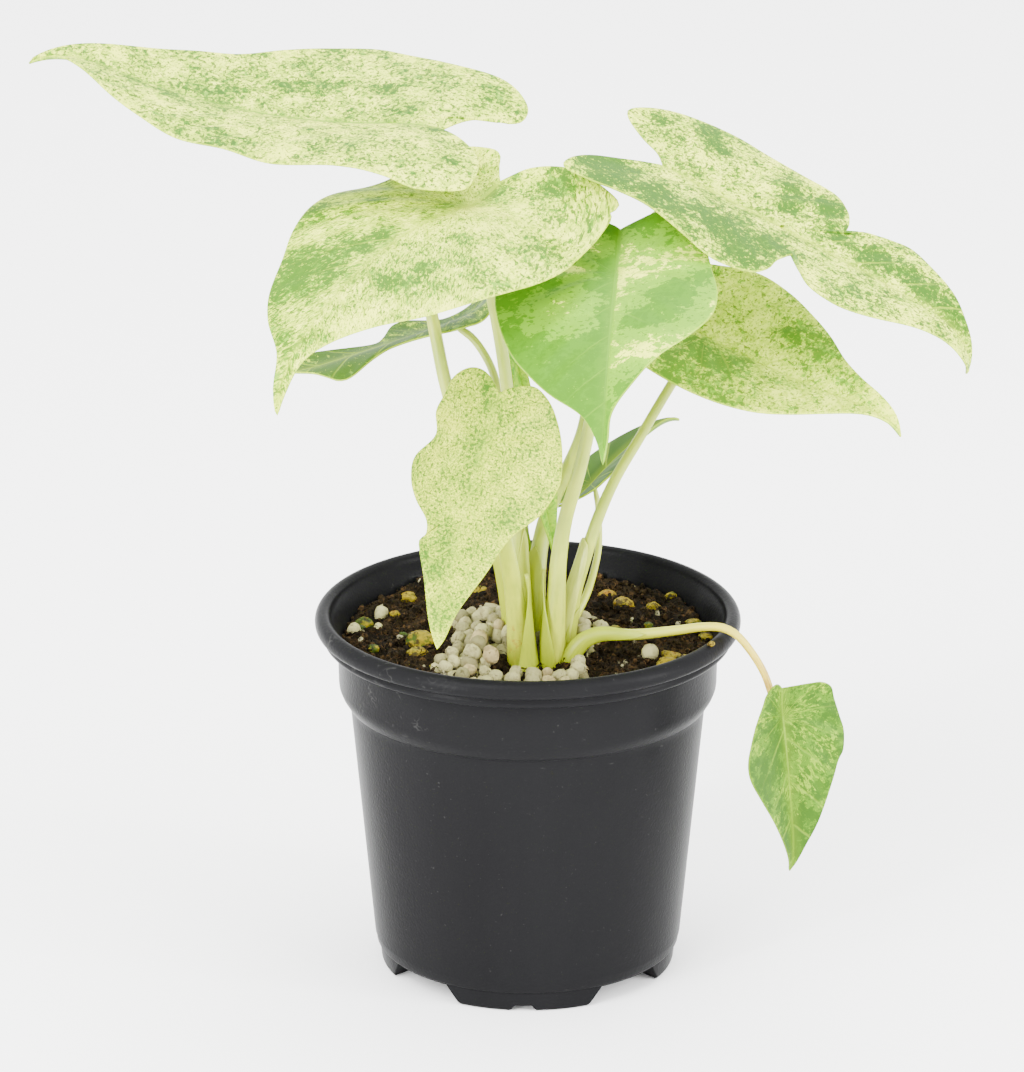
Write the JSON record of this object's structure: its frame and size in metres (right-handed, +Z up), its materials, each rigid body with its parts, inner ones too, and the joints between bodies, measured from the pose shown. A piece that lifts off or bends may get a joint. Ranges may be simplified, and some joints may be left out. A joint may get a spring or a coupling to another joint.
{
  "type": "potted alocasia odora",
  "caption": "Variegated elephant's ear plant with cream and green heart-shaped leaves on slender stalks, growing in a black plastic nursery pot with pale clay granules on the soil.",
  "frame": {"origin": "on the ground, under the middle of the whole outline of plant and pot", "axes": "+X to the right along the widest spread of the leaves, -Y to the front, where the hanging leaf is, and +Z up"},
  "size_m": [0.2298, 0.1454, 0.222],
  "materials": {
    "cream_blade": "satin leaf, cream with green speckles and streaks",
    "green_blade": "satin leaf, green with cream streaks",
    "young_blade": "satin, lime green",
    "stalk": "satin, pale yellow green",
    "corm": "matt, fibrous",
    "granule": "matt, grey beige",
    "soil": "matt, dark and crumbly",
    "pot": "satin black"
  },
  "bodies": {
    "root": {"leaf_back_left_blade": "cream_blade", "leaf_back_left_stalk": "stalk", "leaf_front_left_blade": "cream_blade", "leaf_front_left_stalk": "stalk", "leaf_front_centre_blade": "green_blade", "leaf_front_centre_stalk": "stalk", "leaf_back_right_blade": "cream_blade", "leaf_back_right_stalk": "stalk", "leaf_right_blade": "cream_blade", "leaf_right_stalk": "stalk", "leaf_hanging_front_blade": "cream_blade", "leaf_hanging_front_stalk": "stalk", "leaf_back_blade": "green_blade", "leaf_back_stalk": "stalk", "leaf_small_dark_blade": "green_blade", "leaf_small_dark_stalk": "stalk", "leaf_drooping_side_blade": "green_blade", "leaf_drooping_side_stalk": "stalk", "leaf_young_blade": "young_blade", "leaf_young_stalk": "stalk", "corm": "corm", "granules": "granule", "soil": "soil", "pot": "pot"}
  },
  "joints": []
}
